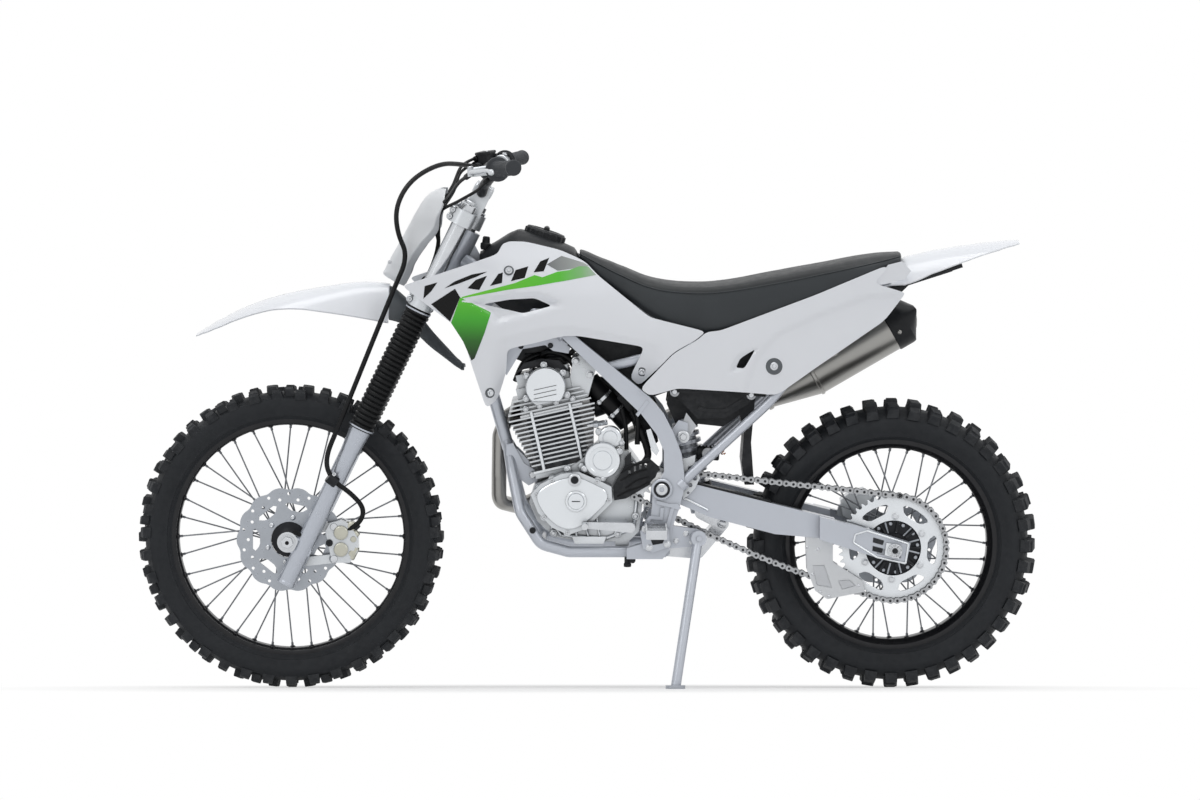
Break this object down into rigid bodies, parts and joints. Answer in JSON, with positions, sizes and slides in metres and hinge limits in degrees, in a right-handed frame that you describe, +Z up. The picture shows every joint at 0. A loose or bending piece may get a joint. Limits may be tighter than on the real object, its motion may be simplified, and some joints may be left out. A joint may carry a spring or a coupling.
{
  "type": "dirt bike",
  "caption": "Off-road motorcycle with a single-cylinder engine, spoked wheels, turning steering and a folding side stand, parked leaning on the stand.",
  "frame": {"origin": "on the ground, under the middle of the parked machine's bounding box", "axes": "-X forward, +X rearward along the wheelbase, -Y to the rider's left, +Z up; the machine leans 9 degrees to -Y on its side stand"},
  "size_m": [2.0196, 0.8402, 1.2568],
  "materials": {
    "bare_steel": "satin",
    "black_metal": "satin black",
    "black_plastic": "satin",
    "black_rubber": "matte",
    "chain_steel": "oiled",
    "disc_steel": "brushed",
    "engine_alloy": "cast, satin",
    "exhaust_steel": "brushed",
    "fork_alloy": "satin",
    "frame_paint": "satin silver",
    "grey_plastic": "matte",
    "seat_cover": "grained vinyl",
    "tyre_rubber": "matte",
    "white_plastic": "gloss"
  },
  "bodies": {
    "chassis": {"frame_spar_left": "frame_paint", "frame_spar_right": "frame_paint", "frame_head": "frame_paint", "frame_cradle": "frame_paint", "subframe": "frame_paint", "swingarm": "frame_paint", "rear_axle": "bare_steel", "rear_shock": "bare_steel", "shock_linkage": "frame_paint", "rear_caliper": "fork_alloy", "chain": "chain_steel", "front_sprocket": "bare_steel", "chain_guide": "fork_alloy", "engine_case": "engine_alloy", "engine_cylinder": "engine_alloy", "engine_head": "engine_alloy", "stator_cover": "engine_alloy", "clutch_cover": "engine_alloy", "sprocket_guard": "black_plastic", "carburettor": "engine_alloy", "muffler": "exhaust_steel", "exhaust_pipe": "exhaust_steel", "fuel_tank": "black_plastic", "fuel_cap": "grey_plastic", "seat": "seat_cover", "shroud_left": "white_plastic", "side_panel_left": "white_plastic", "shroud_right": "white_plastic", "side_panel_right": "white_plastic", "airbox": "black_plastic", "rear_fender": "white_plastic", "footpegs": "bare_steel", "shift_lever": "bare_steel", "brake_pedal": "bare_steel"},
    "steering": {"front_axle": "bare_steel", "fork_tubes": "fork_alloy", "fork_sliders": "fork_alloy", "fork_boots": "black_rubber", "front_fender": "white_plastic", "lower_clamp": "fork_alloy", "upper_clamp": "fork_alloy", "number_plate": "white_plastic", "handlebar": "fork_alloy", "grips": "grey_plastic", "clutch_lever": "black_metal", "brake_lever": "black_metal", "front_caliper": "fork_alloy", "brake_hose": "black_rubber"},
    "front_wheel": {"front_tyre": "tyre_rubber", "front_rim": "black_metal", "front_hub": "black_metal", "front_disc": "disc_steel"},
    "rear_wheel": {"rear_tyre": "tyre_rubber", "rear_rim": "black_metal", "rear_hub": "black_metal", "rear_sprocket": "bare_steel", "rear_disc": "disc_steel"},
    "side_stand": {"side_stand": "frame_paint"}
  },
  "joints": [
    {"name": "steering", "type": "hinge", "parent": "chassis", "child": "steering", "pos_m": [-0.29843, 0.03447, 0.95538], "axis": [0.4384, -0.1406, 0.8877], "range_deg": [-43, 43]},
    {"name": "front_wheel_spin", "type": "hinge", "parent": "steering", "child": "front_wheel", "pos_m": [-0.66691, 0.13167, 0.34168], "axis": [0, 0.9877, 0.1564], "continuous": true},
    {"name": "rear_wheel_spin", "type": "hinge", "parent": "chassis", "child": "rear_wheel", "pos_m": [0.68809, 0.13417, 0.32587], "axis": [0, 0.9877, 0.1564], "continuous": true},
    {"name": "side_stand_fold", "type": "hinge", "parent": "chassis", "child": "side_stand", "pos_m": [0.24859, -0.00058, 0.33288], "axis": [-0.1109, 0.9919, 0.0619], "range_deg": [-101.4, 0]}
  ]
}
